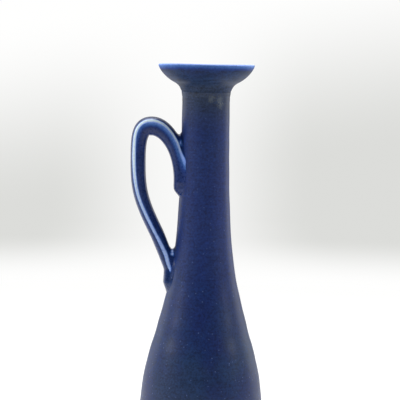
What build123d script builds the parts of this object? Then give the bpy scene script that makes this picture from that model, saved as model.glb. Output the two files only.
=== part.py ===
from build123d import *
import os

# Ceramic bottle vase with one ear-shaped strap handle. Millimetres, +Z up.
# The origin is the centre of the foot's resting plane, on the vase's axis.
# The handle stands on the -X side.

# Driving dimensions
total_height = 250.0
neck_radius = 12.6          # outside, at the waist under the mouth
belly_radius = 33.2         # outside, at its widest
belly_height = 56.0         # height of the widest place
shoulder_radius = 24.1      # outside, where the belly's curve turns into the neck's
shoulder_height = 110.0
rim_radius = 25.4           # outside, just under the rounded lip
lip_width = 2.0             # across the rounded lip
lip_drop = 1.0              # from the top down to the lip's outer edge
inner_lip_drop = 0.7        # and to its inner edge
bore_radius = 9.0           # straight throat of the neck
bore_bottom = 196.0
bore_top = 234.5
wall = 4.0                  # thrown wall of the belly
floor_top = 9.5             # inside bottom of the belly
floor_radius = 14.0         # flat part of the inside bottom

foot_radius = 21.6
foot_inner_radius = 16.4
foot_chamfer = 1.0          # edge of the resting ring

slip = 0.4                  # thickness of the luting slip in each joint
key_width = 1.8             # V-shaped scored key in each joint
key_depth = 1.0
foot_joint = 4.0            # heights of the three luted joints
neck_joint = 156.0
mouth_joint = 235.0
foot_key_radius = 19.0
neck_key_radius = 13.1
mouth_key_radius = 10.9

handle_width_top = 13.0     # strap, measured across the handle's plane
handle_width_bottom = 9.0
handle_stations = 4         # sections in each stretch of the strap
pad_overhang = 0.5          # the luting pads are this much wider on each side
upper_tail = (-12.2, 179.5)         # middle of each pad's far end, x and z
lower_tail = (-18.4, 129.0)
upper_tail_size = (6.0, 3.6)        # width and thickness of that end
lower_tail_size = (5.0, 3.4)

reach = 60.0                # beyond every surface, for cutting tools

os.makedirs("parts", exist_ok=True)


def save(piece, label):
    piece.part.label = label
    export_step(piece.part, f"parts/{label}.step")


# Outside curve, from the foot joint up to the lip, shared by the wall and the envelope
def outside_curve():
    widest = (belly_radius, belly_height)
    shoulder = (shoulder_radius, shoulder_height)
    waist = (neck_radius, total_height - 20)
    flare = (17.2, total_height - 9.6)
    lip = (rim_radius, total_height - lip_drop)
    Bezier((foot_radius, foot_joint), (29.0, 9.5), (belly_radius, 31.0), widest)
    Bezier(widest, (belly_radius, 86.0), (26.55, 100.2), shoulder)
    Bezier(shoulder, (17.75, 135.4), (neck_radius, 142.0), waist)
    Bezier(waist, (neck_radius, total_height - 13.4), (14.0, total_height - 11.2), flare)
    Bezier(flare, (19.6, total_height - 8.4), (24.0, total_height - 5.1), lip)


# Whole thrown wall: foot ring, belly, neck and mouth, hollow from the rim to the floor
underside = foot_joint + slip / 2
with BuildPart() as thrown_wall:
    with BuildSketch(Plane.XZ):
        with BuildLine():
            outside_curve()
            outer_lip = (rim_radius, total_height - lip_drop)
            inner_lip = (rim_radius - lip_width, total_height - inner_lip_drop)
            ThreePointArc(outer_lip, (rim_radius - 0.45 * lip_width, total_height), inner_lip)
            bowl = (15.9, total_height - 7.2)
            throat = (bore_radius, bore_top)
            Bezier(inner_lip, (22.7, total_height - 3.4), (19.1, total_height - 5.8), bowl)
            Bezier(bowl, (12.5, total_height - 8.7), (bore_radius, total_height - 10.0), throat)
            Line(throat, (bore_radius, bore_bottom))
            inner_shoulder = (shoulder_radius - wall, shoulder_height - 1)
            Bezier((bore_radius, bore_bottom), (bore_radius, 140.0), (13.85, 134.0), inner_shoulder)
            inner_widest = (belly_radius - wall, belly_height)
            Bezier(inner_shoulder, (22.55, 99.2), (belly_radius - wall, 85.0), inner_widest)
            Bezier(inner_widest, (belly_radius - wall, 31.0), (26.0, floor_top), (floor_radius, floor_top))
            Polyline(
                (floor_radius, floor_top),
                (0, floor_top),
                (0, underside),
                (foot_inner_radius, underside),
                (foot_inner_radius, foot_chamfer),
                (foot_inner_radius + foot_chamfer, 0),
                (foot_radius - foot_chamfer, 0),
                (foot_radius, foot_chamfer),
                (foot_radius, foot_joint),
            )
        make_face()
    revolve(axis=Axis.Z)

# Filled outside of the wall, which trims the handle and its pads to the wall's surface
with BuildPart() as envelope:
    with BuildSketch(Plane.XZ):
        with BuildLine():
            outside_curve()
            Polyline(
                (rim_radius, total_height - lip_drop),
                (0, total_height - lip_drop),
                (0, foot_joint),
                (foot_radius, foot_joint),
            )
        make_face()
    revolve(axis=Axis.Z)


# Face of a luted joint, from the axis outwards: flat, with a V-shaped key under the wall's middle
def joint_face(height, key_radius):
    return [
        (0, height),
        (key_radius - key_width / 2, height),
        (key_radius, height - key_depth),
        (key_radius + key_width / 2, height),
        (reach, height),
    ]


# Part of the wall between two joint faces
def section_of_wall(label, lower_face, upper_face):
    with BuildPart() as section:
        add(thrown_wall.part)
        with BuildSketch(Plane.XZ):
            with BuildLine():
                Polyline(*lower_face, *reversed(upper_face), close=True)
            make_face()
        revolve(axis=Axis.Z, mode=Mode.INTERSECT)
    save(section, label)


joints = [(foot_joint, foot_key_radius), (neck_joint, neck_key_radius), (mouth_joint, mouth_key_radius)]
under_faces = [joint_face(height - slip / 2, key) for height, key in joints]
over_faces = [joint_face(height + slip / 2, key) for height, key in joints]
ground = [(0, -1), (reach, -1)]
sky = [(0, total_height + 1), (reach, total_height + 1)]

sections = ["foot_ring", "belly", "neck", "mouth"]
for label, lower_face, upper_face in zip(sections, [ground] + over_faces, under_faces + [sky]):
    section_of_wall(label, lower_face, upper_face)

slips = ["foot_joint_slip", "neck_joint_slip", "mouth_joint_slip"]
for label, lower_face, upper_face in zip(slips, under_faces, over_faces):
    section_of_wall(label, lower_face, upper_face)


# Strap handle: centreline in the XZ plane, from the neck over the arch and down to the shoulder.
# Both ends run inside the wall's surface, where the strap is trimmed to it.
upper_root = (-12.7, 188.0)
arch = (-28.4, 217.2)
bend = (-35.7, 200.6)
slant = (-25.5, 160.4)
lower_root = (-17.7, 141.5)
with BuildLine(Plane.XZ):
    rise = Bezier(upper_root, (-12.7, 206.0), (-21.0, 217.2), arch)
    over = Bezier(arch, (-34.2, 217.2), (-35.7, 212.6), bend)
    fall = Bezier(bend, (-35.7, 183.0), (-34.3, 177.8), slant)
    landing = Bezier(slant, (-24.4, 158.3), (-17.9, 144.6), lower_root)
half_thickness = [3.7, 4.5, 3.9, 3.6, 3.7]      # at the five named points, along the strap


# Outline of the strap's section: fuller than an ellipse, with an edge along each side
def strap_outline(width, thickness):
    side = width / 2
    crown = thickness * 2 / 3
    Bezier((-side, 0), (-side, crown), (side, crown), (side, 0))
    Bezier((side, 0), (side, -crown), (-side, -crown), (-side, 0))


# Plane across the strap at a share of one stretch of its centreline
def strap_plane(stretch, along):
    return Plane(origin=stretch @ along, x_dir=(0, 1, 0), z_dir=stretch % along)


stretches = [rise, over, fall, landing]
steps = len(stretches) * handle_stations
with BuildPart() as handle:
    for step in range(steps + 1):
        index = min(step // handle_stations, len(stretches) - 1)
        along = step / handle_stations - index
        blend = along * along * (3 - 2 * along)
        thickness = 2 * (half_thickness[index] * (1 - blend) + half_thickness[index + 1] * blend)
        width = handle_width_top + (handle_width_bottom - handle_width_top) * step / steps
        with BuildSketch(strap_plane(stretches[index], along)):
            with BuildLine():
                strap_outline(width, thickness)
            make_face()
    loft()
    add(envelope.part, mode=Mode.SUBTRACT)
save(handle, "handle")


# Luting pad: the tail of clay pressed onto the wall beyond an end of the strap
def luting_pad(label, root_plane, width, thickness, tail, tail_size):
    tail_plane = Plane(origin=(tail[0], 0, tail[1]), x_dir=(0, 1, 0), z_dir=root_plane.z_dir)
    with BuildPart() as pad:
        with BuildSketch(root_plane):
            with BuildLine():
                strap_outline(width + 2 * pad_overhang, thickness)
            make_face()
        with BuildSketch(tail_plane):
            with BuildLine():
                strap_outline(*tail_size)
            make_face()
        loft()
        add(envelope.part, mode=Mode.SUBTRACT)
    save(pad, label)


upper_plane = strap_plane(rise, 0)
lower_plane = strap_plane(landing, 1)
upper_thickness = 2 * half_thickness[0]
lower_thickness = 2 * half_thickness[-1]
luting_pad("upper_handle_pad", upper_plane, handle_width_top, upper_thickness, upper_tail, upper_tail_size)
luting_pad("lower_handle_pad", lower_plane, handle_width_bottom, lower_thickness, lower_tail, lower_tail_size)
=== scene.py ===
import math

import bmesh
import bpy
from mathutils import Matrix, Vector, noise
from mathutils.geometry import interpolate_bezier


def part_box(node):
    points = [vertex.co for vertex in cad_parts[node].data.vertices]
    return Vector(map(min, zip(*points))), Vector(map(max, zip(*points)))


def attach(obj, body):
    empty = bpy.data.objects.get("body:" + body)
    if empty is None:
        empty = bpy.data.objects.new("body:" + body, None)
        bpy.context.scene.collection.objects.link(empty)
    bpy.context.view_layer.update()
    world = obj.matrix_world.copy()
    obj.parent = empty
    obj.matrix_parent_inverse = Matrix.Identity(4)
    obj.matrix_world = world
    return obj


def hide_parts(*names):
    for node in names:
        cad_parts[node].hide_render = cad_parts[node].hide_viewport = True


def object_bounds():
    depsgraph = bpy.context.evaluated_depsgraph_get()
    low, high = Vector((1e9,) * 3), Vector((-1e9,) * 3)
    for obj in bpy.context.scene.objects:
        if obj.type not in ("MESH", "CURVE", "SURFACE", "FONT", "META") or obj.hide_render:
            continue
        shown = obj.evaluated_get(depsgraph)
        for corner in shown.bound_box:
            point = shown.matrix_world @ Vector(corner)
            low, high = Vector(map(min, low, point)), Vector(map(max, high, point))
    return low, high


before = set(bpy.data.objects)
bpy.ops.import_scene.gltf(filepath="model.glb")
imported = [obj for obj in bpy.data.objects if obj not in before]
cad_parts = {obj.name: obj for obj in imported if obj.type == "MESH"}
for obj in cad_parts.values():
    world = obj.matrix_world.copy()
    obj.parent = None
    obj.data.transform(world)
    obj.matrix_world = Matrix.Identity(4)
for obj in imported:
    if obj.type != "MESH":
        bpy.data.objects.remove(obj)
cadLow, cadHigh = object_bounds()
print("frame loaded:", sorted(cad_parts))

mm = 0.001


def newPiece(name, form, *materials):
    mesh = bpy.data.meshes.new(name)
    form.to_mesh(mesh)
    form.free()
    piece = bpy.data.objects.new(name, mesh)
    bpy.context.scene.collection.objects.link(piece)
    for material in materials:
        mesh.materials.append(material)
    return piece


def curve(knotA, handleA, handleB, knotB, count):
    ends = [Vector((x, z, 0)) for x, z in (knotA, handleA, handleB, knotB)]
    return [(point.x, point.y) for point in interpolate_bezier(*ends, count)]


def smoothStep(low, high, value):
    share = min(max((value - low) / (high - low), 0), 1)
    return share * share * (3 - 2 * share)


def bell(centre, width, value):
    return math.exp(-((value - centre) / width) ** 2)


class Nodes:
    def __init__(self, tree):
        self.tree = tree

    def add(self, kind, **settings):
        node = self.tree.nodes.new(kind)
        for key, value in settings.items():
            setattr(node, key, value)
        return node

    def link(self, source, target):
        self.tree.links.new(source, target)

    def feed(self, socket, value):
        if isinstance(value, bpy.types.NodeSocket):
            self.link(value, socket)
        else:
            socket.default_value = value

    def split(self, source):
        parts = self.add("ShaderNodeSeparateXYZ")
        self.link(source, parts.inputs["Vector"])
        return parts.outputs["X"], parts.outputs["Y"], parts.outputs["Z"]

    def math(self, operation, a, b=0.0, c=0.0):
        node = self.add("ShaderNodeMath", operation=operation)
        for socket, value in zip(node.inputs, (a, b, c)):
            self.feed(socket, value)
        return node.outputs["Value"]

    def range(self, value, low, high, outLow=0.0, outHigh=1.0, easing="SMOOTHSTEP"):
        node = self.add("ShaderNodeMapRange", interpolation_type=easing)
        for socket, number in zip(node.inputs, (value, low, high, outLow, outHigh)):
            self.feed(socket, number)
        return node.outputs["Result"]

    def mix(self, share, a, b, blend="MIX"):
        node = self.add("ShaderNodeMix", data_type="RGBA", blend_type=blend)
        self.feed(node.inputs["Factor"], share)
        self.feed(node.inputs["A"], a)
        self.feed(node.inputs["B"], b)
        return node.outputs["Result"]

    def mixShaders(self, share, a, b):
        node = self.add("ShaderNodeMixShader")
        for socket, source in zip(node.inputs, (share, a, b)):
            self.link(source, socket)
        return node.outputs["Shader"]


class Finish(Nodes):                            # a material, measured in millimetres
    def __init__(self, name):
        self.material = bpy.data.materials.new(name)
        self.material.use_nodes = True
        super().__init__(self.material.node_tree)
        self.shader = self.tree.nodes["Principled BSDF"]
        coordinates = self.add("ShaderNodeTexCoord")
        self.place = self.scaled(coordinates.outputs["Object"], (1000, 1000, 1000))

    def scaled(self, source, scale):
        mapping = self.add("ShaderNodeMapping")
        mapping.inputs["Scale"].default_value = scale
        self.link(source, mapping.inputs["Vector"])
        return mapping.outputs["Vector"]

    def height(self):
        return self.split(self.place)[2]

    def noise(self, size, detail=2.0, roughness=0.5, stretch=(1, 1, 1)):
        grain = self.add("ShaderNodeTexNoise")
        self.link(self.scaled(self.place, stretch), grain.inputs["Vector"])
        grain.inputs["Scale"].default_value = 1 / size
        grain.inputs["Detail"].default_value = detail
        grain.inputs["Roughness"].default_value = roughness
        return grain.outputs["Fac"]

    def ramp(self, value, steps):
        ramp = self.add("ShaderNodeValToRGB")
        elements = ramp.color_ramp.elements
        while len(elements) < len(steps):
            elements.new(0.5)
        for element, (position, colour) in zip(elements, steps):
            element.position = position
            element.color = colour
        self.link(value, ramp.inputs["Fac"])
        return ramp.outputs["Color"]

    def bump(self, value, distance, under=None):
        node = self.add("ShaderNodeBump")
        node.inputs["Distance"].default_value = distance
        self.link(value, node.inputs["Height"])
        if under is not None:
            self.link(under, node.inputs["Normal"])
        return node.outputs["Normal"]


glazeLook = {
    "deep": (0.0034, 0.0160, 0.101, 1),        # thick cobalt
    "slate": (0.0100, 0.0290, 0.092, 1),       # greyer clouds in it
    "teal": (0.0035, 0.0330, 0.110, 1),
    "upper": (0.0060, 0.0235, 0.142, 1),       # bluer towards the neck
    "neckGreyAndShade": (0.0200, 0.0360, 0.080, 1),   # greyer tone under the mouth, made darker on the mouth as painted shade under its flare
    "speck": (0.09, 0.14, 0.36, 1),
    "smudge": (0.42, 0.48, 0.48, 1),
    "cloudSize": 26,                           # sizes and heights in millimetres
    "patchSize": 17,
    "mottleSize": 1.1,
    "streakSize": 3.0,
    "speckCell": 0.55,                         # cells to a millimetre
    "upperShare": 0.75,                        # how far it turns to the neck's blue
    "upperRise": (95, 165),                    # heights over which that comes and goes
    "upperFade": (236, 222),
    "shadeRise": (212, 234),                   # and the grey tone and painted shade under the mouth
    "shadeFade": (246, 239, 0.2, 0.85),
    "streakRise": (224, 234, 1, 2.2),
    "speckRise": (230, 90, 0.25, 0.8),
    "swell": 0.10 * mm,
    "throwingLines": 0.035 * mm,
    "orangePeel": 0.035 * mm,
    "coatRoughness": 0.20,
    "thinAndHighlightSteps": [                             # colour of the glaze where it breaks thin, and of the painted highlights on the handle and lip
        (0.00, (0.0034, 0.0160, 0.101, 1)),
        (0.20, (0.0100, 0.0440, 0.230, 1)),
        (0.42, (0.0580, 0.1560, 0.465, 1)),
        (0.62, (0.2100, 0.3480, 0.820, 1)),
        (0.80, (0.3600, 0.5150, 1.000, 1)),
        # the palest step is mostly painted highlight
        (1.00, (0.7600, 0.9200, 1.000, 1)),
    ],
    "scuffs": [                                # pale smudges where it crawled: place and radius
        ((2.6, -12.3, 231.8), 2.3),
        ((7.2, -10.3, 231.2), 3.0),
        ((7.8, -9.9, 228.6), 2.4),
    ],
    "scuffStrength": 0.16,
}
glazes = {
    "cobaltGlaze": {"roughness": 0.47, "specular": 0.36, "teal": 0.40, "mottling": 0.37, "coat": 0.10},
    "neckGlaze": {"roughness": 0.47, "specular": 0.36, "teal": 0.40, "mottling": 0.37, "coat": 0.10},
    "mouthGlaze": {"roughness": 0.50, "specular": 0.12, "teal": 0.40, "mottling": 0.37, "coat": 0.10},
    "handleGlaze": {"roughness": 0.30, "specular": 0.30, "teal": 0.70, "mottling": 0.20, "coat": 0.24},
}


def glazeSpecks(n):                             # small pale specks, fewer towards the mouth
    cells = n.add("ShaderNodeTexVoronoi")
    n.link(n.place, cells.inputs["Vector"])
    cells.inputs["Scale"].default_value = glazeLook["speckCell"]
    chosen = n.add("ShaderNodeSeparateColor")
    n.link(cells.outputs["Color"], chosen.inputs["Color"])
    dots = n.range(cells.outputs["Distance"], 0.26, 0.06)
    dots = n.math("MULTIPLY", dots, n.range(chosen.outputs[0], 0.60, 0.95))
    return n.math("MULTIPLY", dots, n.range(n.height(), *glazeLook["speckRise"]))


def glazeColour(n, teal, mottling):
    clouds = n.noise(glazeLook["cloudSize"], 3, 0.55, (1, 1, 0.6))
    patches = n.noise(glazeLook["patchSize"], 2, 0.5)
    mottle = n.noise(glazeLook["mottleSize"], 4, 0.65)
    streaks = n.noise(glazeLook["streakSize"], 3, 0.6, (0.35, 0.35, 3.0))
    body = n.mix(n.range(clouds, 0.42, 0.66), glazeLook["deep"], glazeLook["slate"])
    patchy = n.range(patches, 0.55 - teal / 2, 0.9 - teal / 2, 0, teal)
    body = n.mix(patchy, body, glazeLook["teal"])
    bluer = n.range(n.height(), *glazeLook["upperRise"], 0, glazeLook["upperShare"])
    bluer = n.math("MULTIPLY", bluer, n.range(n.height(), *glazeLook["upperFade"]))
    body = n.mix(bluer, body, glazeLook["upper"])
    # greyer tone, with painted shade under the mouth's flare
    shaded = n.range(n.height(), *glazeLook["shadeRise"])
    shaded = n.math("MULTIPLY", shaded, n.range(n.height(), *glazeLook["shadeFade"]))
    body = n.mix(shaded, body, glazeLook["neckGreyAndShade"])
    streaky = n.range(streaks, 0.3, 0.7, -0.12, 0.12)
    streaky = n.math("MULTIPLY", streaky, n.range(n.height(), *glazeLook["streakRise"]))
    grain = n.range(mottle, 0.32, 0.68, 1.01 - mottling, 1.01 + mottling)
    body = n.mix(1.0, body, n.math("ADD", grain, streaky), "MULTIPLY")
    # share of thin glaze and of painted highlight, set on each piece's points
    thinAndHighlight = n.add("ShaderNodeAttribute", attribute_name="thinGlazeAndHighlight").outputs["Fac"]
    uneven = n.math("ADD", thinAndHighlight, n.range(mottle, 0.3, 0.7, -0.04, 0.04))
    colour = n.mix(n.range(thinAndHighlight, 0.02, 0.2), body, n.ramp(uneven, glazeLook["thinAndHighlightSteps"]))
    return n.mix(glazeSpecks(n), colour, glazeLook["speck"]), mottle


def addScuff(n, colour, mottle, place, radius):
    away = n.add("ShaderNodeVectorMath", operation="DISTANCE")
    n.link(n.place, away.inputs[0])
    away.inputs[1].default_value = place
    ragged = n.range(mottle, 0.3, 0.7, -0.4 * radius, 0.4 * radius)
    spread = n.math("ADD", away.outputs["Value"], ragged)
    patch = n.range(spread, radius, 0.2 * radius, 0, glazeLook["scuffStrength"])
    return n.mix(patch, colour, glazeLook["smudge"])


def glazeRelief(n, mottle):
    swell = n.bump(n.noise(7, 2), glazeLook["swell"])
    lines = n.bump(n.noise(2.2, 2, 0.5, (0.12, 0.12, 2.2)), glazeLook["throwingLines"], swell)
    return n.bump(mottle, glazeLook["orangePeel"], lines)


def makeGlaze(name, scuffs=()):
    n = Finish(name)
    finish = glazes[name]
    colour, mottle = glazeColour(n, finish["teal"], finish["mottling"])
    for place, radius in scuffs:
        colour = addScuff(n, colour, mottle, place, radius)
    sheen = n.range(mottle, 0.3, 0.7, finish["roughness"] - 0.05, finish["roughness"] + 0.06)
    n.link(colour, n.shader.inputs["Base Color"])
    n.link(sheen, n.shader.inputs["Roughness"])
    n.link(glazeRelief(n, mottle), n.shader.inputs["Normal"])
    n.shader.inputs["IOR"].default_value = 1.50
    n.shader.inputs["Specular IOR Level"].default_value = finish["specular"]
    n.shader.inputs["Coat Weight"].default_value = finish["coat"]
    n.shader.inputs["Coat Roughness"].default_value = glazeLook["coatRoughness"]
    return n.material


clayLook = {
    "pale": (0.50, 0.41, 0.30, 1),
    "toasted": (0.30, 0.19, 0.11, 1),
    "iron": (0.07, 0.045, 0.03, 1),
    "paleShare": 0.55,
    "grain": 0.10 * mm,
    "turningMarks": 0.05 * mm,
}


def clayColour(n):
    base = n.mix(n.range(n.noise(9, 3), 0.35, 0.7), clayLook["pale"], clayLook["toasted"])
    base = n.mix(clayLook["paleShare"], base, clayLook["pale"])
    grit = n.noise(0.55, 3, 0.7)
    iron = n.range(n.noise(0.8, 2, 0.4), 0.70, 0.76)
    return n.mix(iron, base, clayLook["iron"]), grit


def makeClay(name):
    n = Finish(name)
    colour, grit = clayColour(n)
    n.link(colour, n.shader.inputs["Base Color"])
    n.link(n.range(grit, 0.2, 0.8, 0.78, 0.95), n.shader.inputs["Roughness"])
    rings = n.bump(n.noise(1.4, 2, 0.5, (0.1, 0.1, 1.0)), clayLook["turningMarks"])
    n.link(n.bump(grit, clayLook["grain"], rings), n.shader.inputs["Normal"])
    n.shader.inputs["IOR"].default_value = 1.45
    return n.material


footLook = {
    "glazeLine": 1.9,                          # height where the glaze stops, in millimetres
    "waver": 0.35,
    "halo": 0.55,                              # toasted clay under the line
    "paleEdge": 0.9,                           # and thin glaze above it
    "edge": 0.12,
    "bareRoughness": 0.86,
    "glazeRoughness": 0.42,
    "glazeStep": 0.18 * mm,
    "grain": 0.05 * mm,
    "teal": 0.5,
    "mottling": 0.37,
}


def makeFootGlaze():                            # glaze that stops short of the resting ring
    n = Finish("footGlazeLine")
    glaze = glazeColour(n, footLook["teal"], footLook["mottling"])[0]
    clay, grit = clayColour(n)
    waver = n.range(n.noise(6, 2), 0.3, 0.7, -footLook["waver"], footLook["waver"])
    above = n.math("SUBTRACT", n.height(), n.math("ADD", waver, footLook["glazeLine"]))
    clay = n.mix(n.range(above, -footLook["halo"], 0.0), clay, clayLook["toasted"])
    thinEdge = glazeLook["thinAndHighlightSteps"][2][1]
    glaze = n.mix(n.range(above, 0.0, footLook["paleEdge"]), thinEdge, glaze)
    edge = n.range(above, 0.0, footLook["edge"])
    ends = footLook["bareRoughness"], footLook["glazeRoughness"]
    n.link(n.mix(edge, clay, glaze), n.shader.inputs["Base Color"])
    n.link(n.range(above, 0.0, footLook["edge"], *ends), n.shader.inputs["Roughness"])
    relief = n.bump(edge, footLook["glazeStep"], n.bump(grit, footLook["grain"]))
    n.link(relief, n.shader.inputs["Normal"])
    n.shader.inputs["IOR"].default_value = 1.5
    return n.material


cobaltGlaze = makeGlaze("cobaltGlaze")
neckGlaze = makeGlaze("neckGlaze", glazeLook["scuffs"])
mouthGlaze = makeGlaze("mouthGlaze")
handleGlaze = makeGlaze("handleGlaze")
bareStoneware = makeClay("bareStoneware")
luteSlip = makeClay("luteSlip")
footGlaze = makeFootGlaze()
print("materials made")


height = cadHigh.z
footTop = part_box("foot_ring")[1].z

# every turned piece is cut from the lines below. Each bend of a line is a knot, two handles, a knot
# and a number of points, with radius and height in millimetres.
wallForm = {
    "steps": 144,                              # facets round the axis
    "outside": [
        ((21.6, 4.0), (29.0, 9.5), (33.2, 31.0), (33.2, 56.0), 40),
        ((33.2, 56.0), (33.2, 86.0), (26.55, 100.2), (24.1, 110.0), 40),
        ((24.1, 110.0), (17.75, 135.4), (12.6, 142.0), (12.6, 230.0), 80),
        ((12.6, 230.0), (12.6, 236.6), (14.0, 238.8), (17.2, 240.4), 28),
        ((17.2, 240.4), (19.6, 241.6), (24.0, 244.9), (25.4, 249.0), 24),
    ],
    "lip": [
        ((25.4, 249.0), (25.55, 249.6), (25.1, 250.0), (24.5, 250.0), 8),
        ((24.5, 250.0), (23.9, 250.0), (23.6, 249.8), (23.4, 249.3), 8),
    ],
    "inside": [
        ((14.0, 9.5), (26.0, 9.5), (29.2, 31.0), (29.2, 56.0), 36),
        ((29.2, 56.0), (29.2, 85.0), (22.55, 99.2), (20.1, 109.0), 36),
        ((20.1, 109.0), (13.85, 134.0), (9.0, 140.0), (9.0, 196.0), 50),
        ((9.0, 196.0), (9.0, 209.0), (9.0, 222.0), (9.0, 234.5), 24),
        ((9.0, 234.5), (9.0, 240.0), (12.5, 241.3), (15.9, 242.8), 18),
        ((15.9, 242.8), (19.1, 244.2), (22.7, 246.6), (23.4, 249.3), 20),
    ],
    "wobble": 0.10 * mm,                       # thrown by hand, so not quite round
    "wobbleScale": (14, 14, 22),               # swells to a metre
    "ringDepth": 0.05 * mm,                    # throwing rings
    "ringLength": 2.9 * mm,                    # over two pi
    "ringDrift": 2.2,                          # how unevenly they are spaced
    "driftLength": 17 * mm,
    "ringsRise": (12 * mm, 40 * mm),           # they start above the foot
    "ringsFade": (190 * mm, 225 * mm),         # and are half as deep up the neck
    "trueFoot": (4 * mm, 14 * mm),             # the foot was turned true
    "trueInside": (0.60, 0.95),                # share of the radius where the wobble starts and is full
    "seamRings": [                             # faint rings under the mouth: height, depth, width
        (235.7 * mm, 0.16 * mm, 0.50 * mm),
        (232.6 * mm, 0.10 * mm, 0.60 * mm),
        (229.6 * mm, 0.07 * mm, 0.50 * mm),
    ],
    "merge": 0.002 * mm,
    "sharpAbove": 0.6,                         # radians
}
lineStart = wallForm["outside"][0][0][1] * mm


def drawLine(bends):                            # in metres
    line = []
    for bend in bends:
        line += curve(*bend)[1 if line else 0:]
    return [(x * mm, z * mm) for x, z in line]


outsideLine = drawLine(wallForm["outside"])
lipLine = drawLine(wallForm["lip"])
insideLine = drawLine(wallForm["inside"])


def stretchOf(line, low, high):                # the part of a rising line between two heights
    part = []
    for (r0, z0), (r1, z1) in zip(line, line[1:]):
        for cut in (low, high):
            if z0 < cut < z1:
                share = (cut - z0) / (z1 - z0)
                part.append((r0 + (r1 - r0) * share, cut))
        if low <= z1 <= high:
            part.append((r1, z1))
    if low <= line[0][1]:
        part.insert(0, line[0])
    return sorted(part, key=lambda point: point[1])


def wallRadius(z):
    for (r0, z0), (r1, z1) in zip(outsideLine, outsideLine[1:]):
        if z <= z1:
            return r0 + (r1 - r0) * (z - z0) / (z1 - z0)
    return outsideLine[-1][0]


def handThrown(co):                             # how far a thrown point stands off its true circle
    swell = noise.noise(Vector([a * b for a, b in zip(co, wallForm["wobbleScale"])]))
    drift = wallForm["ringDrift"] * math.sin(co.z / wallForm["driftLength"])
    rings = math.sin(co.z / wallForm["ringLength"] + drift) * wallForm["ringDepth"]
    rings *= smoothStep(*wallForm["ringsRise"], co.z)
    rings *= 1 - smoothStep(*wallForm["ringsFade"], co.z) / 2
    marks = sum(depth * bell(z, width, co.z) for z, depth, width in wallForm["seamRings"])
    return (swell * wallForm["wobble"] + rings) * smoothStep(*wallForm["trueFoot"], co.z) - marks


def throwPiece(name, profile, closed, *materials):
    form = bmesh.new()
    points = [form.verts.new((r, 0, z)) for r, z in profile]
    edges = [form.edges.new(pair) for pair in zip(points, points[1:])]
    if closed:
        edges.append(form.edges.new((points[-1], points[0])))
    bmesh.ops.spin(form, geom=points + edges, cent=(0, 0, 0), axis=(0, 0, 1),
                   angle=2 * math.pi, steps=wallForm["steps"], use_merge=True)
    bmesh.ops.remove_doubles(form, verts=form.verts, dist=wallForm["merge"])
    bmesh.ops.recalc_face_normals(form, faces=form.faces)
    for vert in form.verts:
        radius = math.hypot(vert.co.x, vert.co.y)
        if radius > 1 * mm:
            outer = radius / wallRadius(max(vert.co.z, lineStart))
            outer = smoothStep(*wallForm["trueInside"], outer)
            grow = 1 + handThrown(vert.co) * outer / radius
            vert.co.x *= grow
            vert.co.y *= grow
    return newPiece(name, form, *materials)


def leaveBare(piece, isBare):                   # where no glaze reaches, the second material shows
    for face in piece.data.polygons:
        if isBare(face.center, face.normal):
            face.material_index = 1


def noThinGlaze(co):
    return 0.0


# stores each point's share of thin glaze and painted highlight
def paintThinAndHighlight(piece, rule):
    layer = piece.data.attributes.new("thinGlazeAndHighlight", "FLOAT", "POINT")
    layer.data.foreach_set("value", [rule(vert.co) for vert in piece.data.vertices])


def shadeSmooth(piece, sharpAbove):
    mesh = piece.data
    mesh.polygons.foreach_set("use_smooth", [True] * len(mesh.polygons))
    form = bmesh.new()
    form.from_mesh(mesh)
    for edge in form.edges:
        if len(edge.link_faces) == 2 and edge.calc_face_angle(0) > sharpAbove:
            edge.smooth = False
    form.to_mesh(mesh)
    form.free()


def standIn(piece, slot, *nodes):
    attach(piece, "root")
    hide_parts(*nodes)


jointForm = {
    "slipHalf": 0.2 * mm,                      # half the thickness of a luted joint
    "keyHalf": 0.9 * mm,                       # half the width of its scored key
    "keyDepth": 1.0 * mm,
    "footKey": 19.0 * mm,                      # radius of each key
    "neckKey": 13.1 * mm,
    "mouthKey": 10.9 * mm,
    "steep": 0.45,                             # a joint's faces look up or down by more than this
}
slipHalf = jointForm["slipHalf"]
footSeam = footTop + slipHalf
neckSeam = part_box("neck_joint_slip")[1].z - slipHalf
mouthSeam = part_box("mouth_joint_slip")[1].z - slipHalf


def keyedFace(height, keyName):                 # joint face from outside in, with its scored key
    radius, half = jointForm[keyName], jointForm["keyHalf"]
    return [(radius + half, height), (radius, height - jointForm["keyDepth"]), (radius - half, height)]


def ringProfile(low, high, lowKey, highKey):
    outer = stretchOf(outsideLine, low, high)
    inner = stretchOf(insideLine, low, high)
    return outer + keyedFace(high, highKey) + inner[::-1] + keyedFace(low, lowKey)[::-1]


def inJoint(centre, normal):
    return abs(normal.z) > jointForm["steep"]


footForm = {
    "inner": 16.4 * mm,
    "outer": 21.6 * mm,
    "round": 1.0 * mm,
    "glazeStep": 0.25 * mm,                    # the glazed side stands proud of the bare clay
    "bareRim": 1.2 * mm,                       # bare clay round the recess
    "bareSlip": 1.0 * mm,                      # and on the slip above it
}


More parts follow.
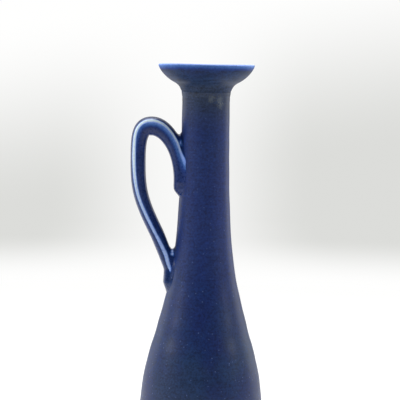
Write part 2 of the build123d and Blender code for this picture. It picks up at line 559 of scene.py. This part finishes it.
def makeFootRing():
    inner, outer, curl = footForm["inner"], footForm["outer"], footForm["round"]
    bare = outer - footForm["glazeStep"]
    sole = [
        (inner, footTop), (inner + 0.15 * mm, 2.0 * mm),
        (inner + 0.3 * mm, curl), (inner + 0.55 * mm, 0.35 * mm), (inner + curl, 0.05 * mm),
        (inner + 1.6 * mm, 0), (outer - 1.9 * mm, 0),
        (bare - curl, 0.05 * mm), (bare - 0.4 * mm, 0.35 * mm), (bare - 0.08 * mm, curl),
        (bare, 1.5 * mm), (outer - 0.06 * mm, 1.95 * mm), (outer, 2.4 * mm), (outer, footTop),
    ]
    profile = sole + keyedFace(footTop, "footKey")
    piece = throwPiece("footRing", profile, True, footGlaze, bareStoneware)
    rim = inner + footForm["bareRim"]
    leaveBare(piece, lambda centre, normal: normal.z > jointForm["steep"] or centre.xy.length < rim)
    paintThinAndHighlight(piece, noThinGlaze)
    shadeSmooth(piece, wallForm["sharpAbove"])
    standIn(piece, "bare_stoneware", "foot_ring")


def makeFootSlip():
    low, high = footTop, footSeam + slipHalf
    inner, outer = footForm["inner"], footForm["outer"]
    profile = [(outer, low), (outer, high)] + keyedFace(high, "footKey")
    profile += [(inner, high), (inner, low)] + keyedFace(low, "footKey")[::-1]
    piece = throwPiece("footJointSlip", profile, True, cobaltGlaze, luteSlip)
    rim = inner + footForm["bareSlip"]
    leaveBare(piece, lambda centre, normal: inJoint(centre, normal) or centre.xy.length < rim)
    paintThinAndHighlight(piece, noThinGlaze)
    shadeSmooth(piece, wallForm["sharpAbove"])
    standIn(piece, "luting_slip", "foot_joint_slip")


bellyForm = {
    "floor": 9.5 * mm,
    "turningSteps": 48,                        # marks under the floor, cut from the centre out
    "turningDepth": 0.12 * mm,
    "turningPitch": 1.7 * mm,
    "turningFade": 2 * mm,
    "bareLow": 0.3 * mm,                       # how far the joints' bare clay goes up and down
    "bareHigh": 1.2 * mm,
}


def turningMarks(low):
    marks = []
    inner, steps = footForm["inner"], bellyForm["turningSteps"]
    for step in range(steps + 1):
        radius = inner * step / steps
        groove = 0.5 - 0.5 * math.cos(2 * math.pi * radius / bellyForm["turningPitch"])
        fade = smoothStep(0, bellyForm["turningFade"], inner - radius)
        marks.append((radius, low + bellyForm["turningDepth"] * groove * fade))
    return marks


def makeBelly():
    low, high = footSeam + slipHalf, neckSeam - slipHalf
    under = turningMarks(low) + keyedFace(low, "footKey")[::-1]
    outer = [(footForm["outer"], low)] + stretchOf(outsideLine, low, high)[1:]
    inner = stretchOf(insideLine, 0, high)[::-1]
    floor = [(inner[-1][0] * share, bellyForm["floor"]) for share in (0.75, 0.5, 0.25, 0)]
    profile = under + outer + keyedFace(high, "neckKey") + inner + floor
    piece = throwPiece("belly", profile, False, cobaltGlaze, bareStoneware)
    bareLow, bareHigh = low + bellyForm["bareLow"], high - bellyForm["bareHigh"]
    leaveBare(piece, lambda centre, normal: inJoint(centre, normal) and not bareLow <= centre.z <= bareHigh)
    paintThinAndHighlight(piece, noThinGlaze)
    shadeSmooth(piece, wallForm["sharpAbove"])
    standIn(piece, "cobalt_glaze", "belly")


def makeNeck():
    low, high = neckSeam + slipHalf, mouthSeam - slipHalf
    profile = ringProfile(low, high, "neckKey", "mouthKey")
    piece = throwPiece("neck", profile, True, neckGlaze, bareStoneware)
    leaveBare(piece, inJoint)
    paintThinAndHighlight(piece, noThinGlaze)
    shadeSmooth(piece, wallForm["sharpAbove"])
    standIn(piece, "cobalt_glaze", "neck")


def makeSlip(name, node, seam, keyName):
    profile = ringProfile(seam - slipHalf, seam + slipHalf, keyName, keyName)
    piece = throwPiece(name, profile, True, cobaltGlaze, luteSlip)
    leaveBare(piece, inJoint)
    paintThinAndHighlight(piece, noThinGlaze)
    shadeSmooth(piece, wallForm["sharpAbove"])
    standIn(piece, "luting_slip", node)


lipForm = {
    "pale": 0.54,                              # how thin the glaze is at the lip, with a painted highlight along the top added to it
    "falloff": 1.1,
    "fade": 3.8 * mm,                          # how far down the outside it stays thin
    "insideFade": 4.6 * mm,
    "wall": 1.2 * mm,                          # deeper than this under the outside is the inside
    "ragged": 0.18,
    "raggedSize": 5 * mm,
    "paintedEndHighlight": 0.20,                             # painted highlight at the lip's two ends, towards and away from the handle
    "edge": 0.22,                              # painted highlight, paler still, on the very edge
    "edgeWidth": 0.70 * mm,
    "wave": 0.10 * mm,                         # the lip isn't quite level
    "waves": [(2, 0.6, 1.0), (3, 2.0, 0.5)],   # waves to a turn, where they start, share
    "waveFrom": 243 * mm,
    "bareLow": 0.01 * mm,
}


def lipThinAndHighlight(co):                            # the glaze runs off the lip, so it is thin there; painted highlights are added along its top edge and at its ends
    radius = math.hypot(co.x, co.y)
    inside = radius < wallRadius(co.z) - lipForm["wall"]
    fade = lipForm["insideFade"] if inside else lipForm["fade"]
    fade *= 1 + lipForm["ragged"] * noise.noise(Vector((co.x, co.y, 0)) / lipForm["raggedSize"])
    share = max(0, 1 - (height - co.z) / fade)
    # painted highlight at the two ends, then along the very edge
    pale = lipForm["pale"] + lipForm["paintedEndHighlight"] * (co.x / radius) ** 4
    edge = lipForm["edge"] * bell(0, lipForm["edgeWidth"], height - co.z)
    return pale * share ** lipForm["falloff"] + edge


def makeMouth():
    low = mouthSeam + slipHalf
    outer = stretchOf(outsideLine, low, height)
    inner = stretchOf(insideLine, low, height)
    profile = outer + lipLine[1:-1] + inner[::-1] + keyedFace(low, "mouthKey")[::-1]
    piece = throwPiece("mouth", profile, True, mouthGlaze, bareStoneware)
    bareLow, steep = low + lipForm["bareLow"], jointForm["steep"]
    leaveBare(piece, lambda centre, normal: centre.z < bareLow and normal.z < -steep)
    paintThinAndHighlight(piece, lipThinAndHighlight)
    for vert in piece.data.vertices:
        angle = math.atan2(vert.co.y, vert.co.x)
        wave = sum(share * math.sin(turns * angle + start) for turns, start, share in lipForm["waves"])
        rise = smoothStep(lipForm["waveFrom"], height, vert.co.z)
        vert.co.z += lipForm["wave"] * wave * rise
    shadeSmooth(piece, wallForm["sharpAbove"])
    standIn(piece, "cobalt_glaze", "mouth")


makeFootRing()
makeFootSlip()
makeBelly()
makeSlip("neckJointSlip", "neck_joint_slip", neckSeam, "neckKey")
makeNeck()
makeSlip("mouthJointSlip", "mouth_joint_slip", mouthSeam, "mouthKey")
makeMouth()
print("thrown pieces made")


# the pulled strap and its two luted tails are one run of clay, cut at the knots where they meet
strapForm = {
    "knots": [      # x and z in millimetres, handle before, handle after, half thickness, half width
        ((-11.0, 178.4), (-10.9, 177.0), (-11.4, 180.4), 1.4, 2.6),
        ((-12.4, 184.6), (-12.1, 182.6), (-12.6, 185.9), 4.0, 6.2),
        ((-12.7, 188.0), (-12.7, 186.9), (-12.7, 206.0), 3.75, 6.6),
        ((-28.4, 216.9), (-21.0, 216.9), (-34.1, 216.9), 5.0, 6.3),
        ((-35.55, 200.6), (-35.55, 212.4), (-35.55, 183.0), 4.0, 6.0),
        ((-25.4, 160.5), (-34.2, 177.9), (-24.3, 158.4), 3.7, 5.2),
        ((-17.7, 141.5), (-18.6, 144.6), (-17.4, 140.4), 3.5, 4.6),
        ((-17.6, 134.0), (-17.4, 137.0), (-17.7, 132.4), 3.7, 5.2),
        ((-17.4, 127.6), (-17.9, 129.6), (-17.0, 126.4), 1.6, 2.6),
    ],
    "upperKnot": 2,                            # where the strap meets its luted tails
    "archKnot": 3,
    "bendKnot": 4,
    "slantKnot": 5,
    "lowerKnot": 6,
    "facets": 112,                             # round the strap
    "stretchSteps": 30,                        # loops in each stretch
    "crown": 1.0 * mm,                         # how far the outer face bulges past its edges
    "fullCrown": 3 * mm,                       # half thickness that takes all of it
    "ridgeSpread": 1.6,                        # gathers points at the outer face's two ridges
    "outerSquare": 0.42,                       # 1 is an ellipse, less is boxier
    "innerSquare": 0.52,
    "innerDepth": 0.58,
    "waist": 0.16,                             # how much narrower the inner face is
    "fillet": 2.2 * mm,                        # clay smoothed onto the wall
    "upperWeb": 1.15 * mm,                     # radius of the clay pressed into each crotch
    "lowerWeb": 1.25 * mm,
    "webFade": 1.2 * mm,
    "pressed": (-0.1, 0.7),                    # how far round the section the pressing starts and is full
    "sharpAbove": 1.0,
}


def strapStations():
    steps = strapForm["stretchSteps"]
    centres, halves, widths = [], [], []
    for start, end in zip(strapForm["knots"], strapForm["knots"][1:]):
        stretch = curve(start[0], start[2], end[1], end[0], steps + 1)
        for index, (x, z) in enumerate(stretch):
            if centres and index == 0:
                continue
            ease = smoothStep(0, 1, index / steps)
            centres.append(Vector((x, 0, z)) * mm)
            halves.append((start[3] + (end[3] - start[3]) * ease) * mm)
            widths.append((start[4] + (end[4] - start[4]) * ease) * mm)
    return centres, halves, widths


def strapPoint(angle, half, wide):              # across the width and out from the loop, round one section
    across, out = math.cos(angle), math.sin(angle)
    if out >= 0:                                # outer face: boxy, so it has two ridges
        square = strapForm["outerSquare"]
        crown = strapForm["crown"] * min(1, half / strapForm["fullCrown"])
        out = out ** strapForm["ridgeSpread"]
        across = math.copysign(math.sqrt(max(0, 1 - out * out)), across)
        u = math.copysign(abs(across) ** square, across) * wide
        v = out ** square * (half - crown * (u / wide) ** 2)
    else:                                       # inner face: rounder and a little narrower
        u = math.copysign(abs(across) ** strapForm["innerSquare"], across) * wide
        v = -abs(out) ** strapForm["innerDepth"] * half
        u *= 1 - strapForm["waist"] * (v / half) ** 2
    return u, v


def wallNormal(point):                          # and the share of a gap that lies along it
    slope = (wallRadius(point.z + 0.5 * mm) - wallRadius(point.z - 0.5 * mm)) / mm
    flat = Vector((point.x, point.y, 0)).normalized()
    return (flat - Vector((0, 0, slope))).normalized(), 1 / math.sqrt(1 + slope * slope)


def smoothedOn(point, outward):                 # clay near the wall spreads along it in a fillet
    normal, lean = wallNormal(point)
    gap = (math.hypot(point.x, point.y) - wallRadius(point.z)) * lean
    reach = strapForm["fillet"]
    if gap >= reach:
        return point
    gap = max(gap, 0)
    spread = reach - math.sqrt(reach * reach - (reach - gap) ** 2)
    along = outward - normal * outward.dot(normal)
    return point + along * spread


ridgeForm = {
    "line": [       # knot, where the pale line of thin glaze and painted highlight starts and ends in from the outer face, strength (highest where most light falls), painted glow
        (2.02, 0.6, 1.4, 0.0, 0.0),
        (2.12, 0.9, 2.2, 0.40, 0.20),
        (2.28, 1.4, 2.8, 0.80, 0.40),
        (2.42, 1.5, 2.9, 0.96, 0.46),
        (2.55, 1.4, 2.8, 1.0, 0.50),
        (2.80, 1.2, 2.9, 1.0, 0.50),
        (3.00, 1.1, 3.1, 1.0, 0.50),
        (3.50, 1.1, 2.9, 1.0, 0.34),
        (4.00, 1.1, 3.0, 0.98, 0.14),
        (4.50, 1.8, 3.5, 0.90, 0.10),
        (5.00, 2.5, 4.1, 0.84, 0.10),
        (5.15, 2.6, 4.3, 0.82, 0.12),
        (5.40, 2.8, 4.8, 0.82, 0.12),
        (5.60, 3.0, 5.1, 0.82, 0.12),
        (5.80, 2.5, 4.5, 0.84, 0.12),
        (6.00, 2.7, 4.1, 0.86, 0.12),
        (6.22, 3.0, 3.9, 0.84, 0.08),
        (6.40, 3.3, 3.7, 0.0, 0.0),
    ],
    "edge": 0.30 * mm,                         # half the width of the line's own edges
    "innerEdge": 0.36 * mm,                    # wider where the glow is strong
    "glowWidens": 4,
    "skirt": 3.2 * mm,                         # painted blue glow on its inner side
    "sideFrom": 0.70,                          # share of the half width where the breaking starts
    "sideTo": 0.86,                            # and where it is full
    "paintedGlints": [                              # painted glints on the crotch fillets: x and z in millimetres, size, how pale
        ((-12.4, 208.4), 1.4 * mm, 1.0),
        ((-16.7, 150.5), 0.8 * mm, 0.95),
        ((-16.6, 149.3), 1.0 * mm, 1.0),
    ],
}


def ridgeAt(knot):
    for low, high in zip(ridgeForm["line"], ridgeForm["line"][1:]):
        if low[0] <= knot <= high[0]:
            share = (knot - low[0]) / (high[0] - low[0])
            return [a + (b - a) * share for a, b in zip(low[1:], high[1:])]
    return ridgeForm["line"][0][1:]


def ridgeThinAndHighlight(knot, depth, aside):          # the glaze breaks along both edges of the outer face, and the line is painted paler still as a highlight
    start, end, strength, glow = ridgeAt(knot)
    edge = ridgeForm["edge"]
    innerEdge = ridgeForm["innerEdge"] * (1 + ridgeForm["glowWidens"] * glow)
    rise = smoothStep(start * mm - edge, start * mm + edge, depth)
    line = strength * (1 - smoothStep(end * mm - innerEdge, end * mm + innerEdge, depth))
    glow *= 1 - smoothStep(end * mm, end * mm + ridgeForm["skirt"], depth)
    return rise * max(line, glow) * smoothStep(ridgeForm["sideFrom"], ridgeForm["sideTo"], aside)


# painted glints where the crotch fillets catch the light
def paintedGlintAmount(co):
    thinness = []
    for (x, z), size, strength in ridgeForm["paintedGlints"]:
        thinness.append(strength * bell(0, size, math.hypot(co.x - x * mm, co.z - z * mm)))
    return max(thinness)


def awayFromLoop(ahead):
    return Vector((ahead.z, 0, -ahead.x))


def webLifts(centres, halves):                  # clay pressed into the two crotches rounds them out
    steps = strapForm["stretchSteps"]
    lifts = [Vector()] * len(centres)
    for first, last, side, radius in (
        (strapForm["upperKnot"], strapForm["archKnot"], 1, strapForm["upperWeb"]),
        (strapForm["lowerKnot"], strapForm["slantKnot"], -1, strapForm["lowerWeb"]),
    ):
        spots = []
        for index in range(first * steps, last * steps, side):
            ahead = (centres[index + 1] - centres[index - 1]).normalized()
            face = centres[index] + awayFromLoop(ahead) * halves[index] * side
            normal, lean = wallNormal(face)
            gap = (abs(face.x) - wallRadius(face.z)) * lean
            spots.append((index, face, gap, awayFromLoop(normal)))
        top = next(face.z for index, face, gap, up in spots if gap > 2 * radius)
        for index, face, gap, up in spots:
            if gap >= 2 * radius or face.z > top:
                continue
            hollow = math.sqrt(max(0, radius ** 2 - (max(gap, 0) - radius) ** 2))
            fade = 1 - smoothStep(0, strapForm["webFade"], -gap)
            lifts[index] = up * ((top - hollow - face.z) / up.z * fade * side)
    return lifts


def makeStrap(name, node, first, last):         # the run of clay between two knots of the strap
    centres, halves, widths = strapStations()
    lifts = webLifts(centres, halves)
    form = bmesh.new()
    thinAndHighlight = form.verts.layers.float.new("thinGlazeAndHighlight")
    facets, steps = strapForm["facets"], strapForm["stretchSteps"]
    previous = None
    for index in range(first * steps, last * steps + 1):
        centre, half, wide = centres[index], halves[index], widths[index]
        ahead = centres[min(index + 1, len(centres) - 1)] - centres[max(index - 1, 0)]
        outward = awayFromLoop(ahead.normalized())
        side = 1 if index < strapForm["bendKnot"] * steps else -1
        ring = bmesh.ops.create_circle(form, segments=facets, radius=wide)["verts"]
        for step, vert in enumerate(ring):
            u, v = strapPoint(2 * math.pi * step / facets, half, wide)
            facing = (Vector((0, u / wide, 0)) + outward * (v / half)).normalized()
            vert.co = smoothedOn(centre + Vector((0, u, 0)) + outward * v, facing)
            share = smoothStep(*strapForm["pressed"], side * v / half) * max(0, 1 - (u / wide) ** 2)
            vert.co += lifts[index] * side * share
            ridge = ridgeThinAndHighlight(index / steps, half - v, abs(u) / wide)
            vert[thinAndHighlight] = max(ridge, paintedGlintAmount(vert.co))
        edges = [form.edges.get(pair) for pair in zip(ring, ring[1:] + ring[:1])]
        if previous:
            bmesh.ops.bridge_loops(form, edges=previous + edges)
        else:
            bmesh.ops.edgeloop_fill(form, edges=edges)
        previous = edges
    bmesh.ops.edgeloop_fill(form, edges=previous)
    bmesh.ops.recalc_face_normals(form, faces=form.faces)
    piece = newPiece(name, form, handleGlaze)
    shadeSmooth(piece, strapForm["sharpAbove"])
    standIn(piece, "cobalt_glaze", node)


makeStrap("upperHandlePad", "upper_handle_pad", 0, strapForm["upperKnot"])
makeStrap("handle", "handle", strapForm["upperKnot"], strapForm["lowerKnot"])
makeStrap("lowerHandlePad", "lower_handle_pad", strapForm["lowerKnot"], len(strapForm["knots"]) - 1)
print("handle made")


studio = {
    "floorRadius": 1.6,
    "floorPale": (0.93, 0.93, 0.925, 1),
    "melt": (0.66, 0.92),                      # how far out the floor starts to glow by itself
    "fade": (0.92, 1.40),                      # and where it dims to the horizon
    "horizon": (0.715, 0.72, 0.70, 1),
    "sky": (1.0, 1.0, 0.995, 1),
    "skyRise": (-0.078, 0.050),                # sine of the elevations between which it pales
    "skyLean": -0.18,                          # the sky pales sooner on the left
    "halo": 0.045,                             # width of the painted glow on the backdrop behind the vase
    "haloShift": 0.013,                        # and how far left of the vase its middle is
    "haloStrength": 0.80,
    "floorHalo": 0.415,                        # carries the painted glow on across the floor's edge
    "frontGlow": 0.06,                         # the room in front of the vase is dim
    "backGlow": 0.42,
    "glowSpan": 0.9,
    "aim": 0.14,                               # height that the lamps point at
    "lamps": {                                 # place, size, watts
        "overhead": ((0.0, 0.25, 1.2), (1.3, 1.3), 16),
        "leftBack": ((-1.0, 0.75, 0.5), (0.7, 1.1), 2.6),
        "rightBack": ((1.0, 0.75, 0.5), (0.7, 1.1), 3.2),
        "leftKey": ((-1.1, -0.15, 0.8), (0.4, 0.7), 7.2),
        "rightKey": ((1.1, -0.25, 0.75), (0.4, 0.7), 3.3),
    },
}


# painted glow on the backdrop and far floor behind the vase
def halo(n, along):
    return n.range(n.math("ABSOLUTE", along), studio["halo"] * 2, 0, 0, studio["haloStrength"])


def makeFloor():
    form = bmesh.new()
    bmesh.ops.create_circle(form, cap_ends=True, segments=128, radius=studio["floorRadius"])
    n = Finish("paleFloor")
    n.shader.inputs["Base Color"].default_value = studio["floorPale"]
    n.shader.inputs["Roughness"].default_value = 0.9
    away = n.add("ShaderNodeVectorMath", operation="LENGTH")
    n.link(n.place, away.inputs[0])
    out = n.math("MULTIPLY", away.outputs["Value"], mm)
    along = n.math("MULTIPLY_ADD", n.split(n.place)[0], studio["floorHalo"] * mm, studio["haloShift"])
    horizon = n.mix(halo(n, along), studio["horizon"], studio["sky"])
    glow = n.add("ShaderNodeEmission")
    n.link(n.mix(n.range(out, *studio["fade"]), studio["sky"], horizon), glow.inputs["Color"])
    melted = n.mixShaders(n.range(out, *studio["melt"]), n.shader.outputs["BSDF"], glow.outputs["Emission"])
    n.link(melted, n.tree.nodes["Material Output"].inputs["Surface"])
    floor = newPiece("floor", form, n.material)


def makeWorld():
    world = bpy.data.worlds.new("paleRoom")
    world.use_nodes = True
    bpy.context.scene.world = world
    world.node_tree.nodes.clear()
    n = Nodes(world.node_tree)
    x, y, z = n.split(n.add("ShaderNodeTexCoord").outputs["Generated"])
    rise = n.range(n.math("MULTIPLY_ADD", x, studio["skyLean"], z), *studio["skyRise"])
    tone = n.mix(rise, studio["horizon"], studio["sky"])
    seen = n.add("ShaderNodeBackground")
    along = n.math("ADD", x, studio["haloShift"])
    n.link(n.mix(halo(n, along), tone, studio["sky"]), seen.inputs["Color"])
    lighting = n.add("ShaderNodeBackground")
    lighting.inputs["Color"].default_value = (1, 1, 1, 1)
    span, glows = studio["glowSpan"], (studio["frontGlow"], studio["backGlow"])
    n.link(n.range(y, -span, span, *glows, "LINEAR"), lighting.inputs["Strength"])
    cameraRay = n.add("ShaderNodeLightPath").outputs["Is Camera Ray"]
    room = n.mixShaders(cameraRay, lighting.outputs["Background"], seen.outputs["Background"])
    n.link(room, n.add("ShaderNodeOutputWorld").inputs["Surface"])


def softBox(name, place, size, power):
    light = bpy.data.lights.new(name, "AREA")
    light.shape = "RECTANGLE"
    light.size, light.size_y = size
    light.energy = power
    lamp = bpy.data.objects.new(name, light)
    bpy.context.scene.collection.objects.link(lamp)
    lamp.location = place
    aim = Vector((0, 0, studio["aim"])) - Vector(place)
    lamp.rotation_euler = aim.to_track_quat("-Z", "Y").to_euler()
    lamp.visible_camera = False


cameraForm = {
    "lens": 135,
    "away": 0.795,
    "aside": -2.3 * mm,
    "drop": math.radians(5.18065),             # how far it looks down
    "roll": math.radians(0.99),
}


def makeCamera():
    camera = bpy.data.cameras.new("camera")
    camera.lens = cameraForm["lens"]
    camera.sensor_width = 36
    camera.clip_start = 0.05
    camera.clip_end = 50
    seat = bpy.data.objects.new("camera", camera)
    bpy.context.scene.collection.objects.link(seat)
    turn = Matrix.Rotation(math.pi / 2 - cameraForm["drop"], 4, "X")
    turn = turn @ Matrix.Rotation(cameraForm["roll"], 4, "Z")
    place = (cameraForm["aside"], -cameraForm["away"], height)
    seat.matrix_world = Matrix.Translation(place) @ turn
    bpy.context.scene.camera = seat
    bpy.context.scene.view_settings.view_transform = "Standard"


makeFloor()
makeWorld()
for name, (place, size, power) in studio["lamps"].items():
    softBox(name, place, size, power)
makeCamera()
print("studio made")
